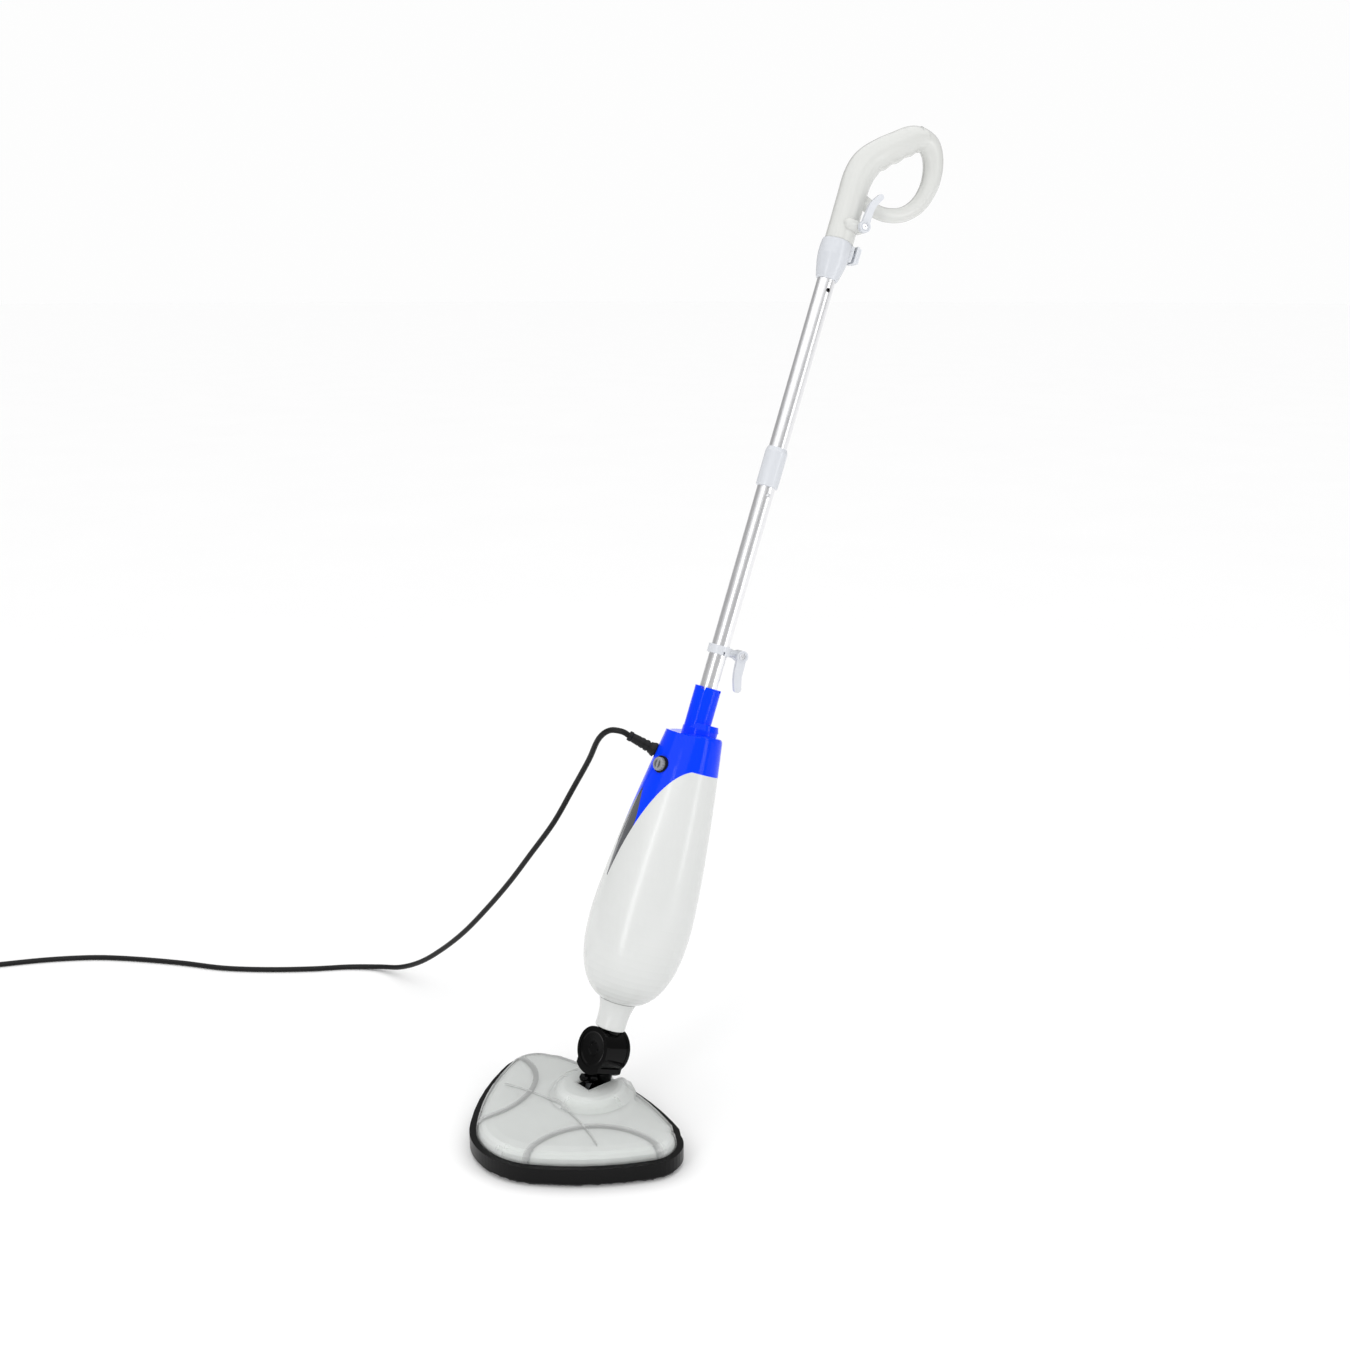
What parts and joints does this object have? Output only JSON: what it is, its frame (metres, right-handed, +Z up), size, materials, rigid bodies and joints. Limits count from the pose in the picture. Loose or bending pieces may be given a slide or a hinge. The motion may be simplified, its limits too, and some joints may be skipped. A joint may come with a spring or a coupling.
{
  "type": "upright steam mop",
  "caption": "Upright steam mop: triangular head on a three-axis joint, rounded boiler housing with smoked tank, aluminium pole, loop handle, cord hooks and mains cord.",
  "frame": {"origin": "on the sole of the pad, straight below the head hinge", "axes": "+Z up from the floor, -Y towards the front of the head; the pole leans towards +Y, where the user stands"},
  "size_m": [1.1738, 1.0288, 1.1343],
  "materials": {
    "white_shell": "gloss white",
    "blue_shell": "gloss blue",
    "smoked_tank": "smoked clear plastic",
    "hose": "satin",
    "dark_plastic": "satin black",
    "cast_boiler": "as cast",
    "steel": "bright",
    "grey_plastic": "satin grey",
    "soft_black": "matt",
    "cord_black": "satin",
    "brass": "bright",
    "tube_metal": "brushed, clear anodised",
    "pale_plastic": "bluish white gloss",
    "grip_white": "warm white gloss",
    "joint_black": "gloss black",
    "deck_white": "white",
    "clear_cover": "clear plastic",
    "frame_black": "fine texture, black",
    "pad_fabric": "microfibre"
  },
  "bodies": {
    "housing": {"front_shell": "white_shell", "rear_shell": "white_shell", "top_housing": "blue_shell", "neck_socket": "white_shell", "water_tank": "smoked_tank", "tank_hose": "hose", "pump": "dark_plastic", "boiler": "cast_boiler", "steam_valve": "dark_plastic", "steam_pipe": "steel", "dial_bezel": "dark_plastic", "strain_relief": "soft_black", "power_cord": "cord_black", "cord_coil": "cord_black", "plug_body": "cord_black", "plug_pins": "brass", "case_screws": "steel", "lower_tube": "tube_metal", "pole_core": "dark_plastic", "snap_buttons": "steel", "pole_sleeve": "pale_plastic", "upper_tube": "tube_metal", "lower_hook_clamp": "pale_plastic", "lower_hook_screw": "steel"},
    "cap": {"filler_cap": "blue_shell"},
    "dial": {"steam_dial": "grey_plastic"},
    "low_hook": {"lower_hook": "pale_plastic"},
    "handle": {"grip_left": "grip_white", "grip_right": "grip_white", "grip_screws": "steel", "handle_collar": "pale_plastic", "upper_hook_screw": "steel"},
    "high_hook": {"upper_hook": "pale_plastic"},
    "slide_button": {"handle_button": "pale_plastic", "button_spring": "steel"},
    "hub": {"swivel_hub": "joint_black", "hub_seal": "soft_black"},
    "yoke": {"swivel_yoke": "joint_black", "swivel_axle": "steel", "axle_caps": "joint_black"},
    "release": {"head_release": "joint_black", "release_spring": "steel"},
    "head": {"hinge_pin": "steel", "hinge_bracket": "grey_plastic", "head_base": "grey_plastic", "head_deck": "deck_white", "head_cover": "clear_cover", "pad_frame": "frame_black", "mop_pad": "pad_fabric", "head_screws": "steel", "steam_nozzle": "brass"}
  },
  "joints": [
    {"name": "neck_turn", "type": "hinge", "parent": "housing", "child": "hub", "pos_m": [0, 0.03513, 0.12927], "axis": [0, 0.3697, 0.9291], "range_deg": [-80, 40]},
    {"name": "head_roll", "type": "hinge", "parent": "hub", "child": "yoke", "pos_m": [0, 0.01923, 0.08932], "axis": [0, 0.9291, -0.3697], "range_deg": [-60, 60]},
    {"name": "head_pitch", "type": "hinge", "parent": "yoke", "child": "head", "pos_m": [0, 0.01487, 0.03508], "axis": [1, 0, 0], "range_deg": [-9, 15]},
    {"name": "release_press", "type": "slide", "parent": "yoke", "child": "release", "axis": [0, 0.9291, -0.3697], "range_m": [0, 0.003], "stiffness_N_per_m": 400},
    {"name": "dial_turn", "type": "hinge", "parent": "housing", "child": "dial", "pos_m": [0.00126, 0.11133, 0.41806], "axis": [0.0349, -0.9286, 0.3695], "range_deg": [-135, 135]},
    {"name": "cap_turn", "type": "hinge", "parent": "housing", "child": "cap", "pos_m": [-0.00749, 0.18246, 0.40428], "axis": [-0.2079, 0.9088, -0.3617], "range_deg": [0, 90]},
    {"name": "lower_hook_swing", "type": "hinge", "parent": "housing", "child": "low_hook", "pos_m": [0.00992, 0.22387, 0.52987], "axis": [0.9397, -0.3178, 0.1265], "range_deg": [0, 180]},
    {"name": "handle_slide", "type": "slide", "parent": "housing", "child": "handle", "axis": [0, 0.3697, 0.9291], "range_m": [-0.043, 0]},
    {"name": "handle_button_press", "type": "slide", "parent": "handle", "child": "slide_button", "axis": [-0.342, -0.8731, 0.3474], "range_m": [0, 0.003], "stiffness_N_per_m": 400},
    {"name": "upper_hook_swing", "type": "hinge", "parent": "handle", "child": "high_hook", "pos_m": [0.02615, 0.39651, 1.01706], "axis": [-0.9397, 0.3178, -0.1265], "range_deg": [0, 180]}
  ]
}
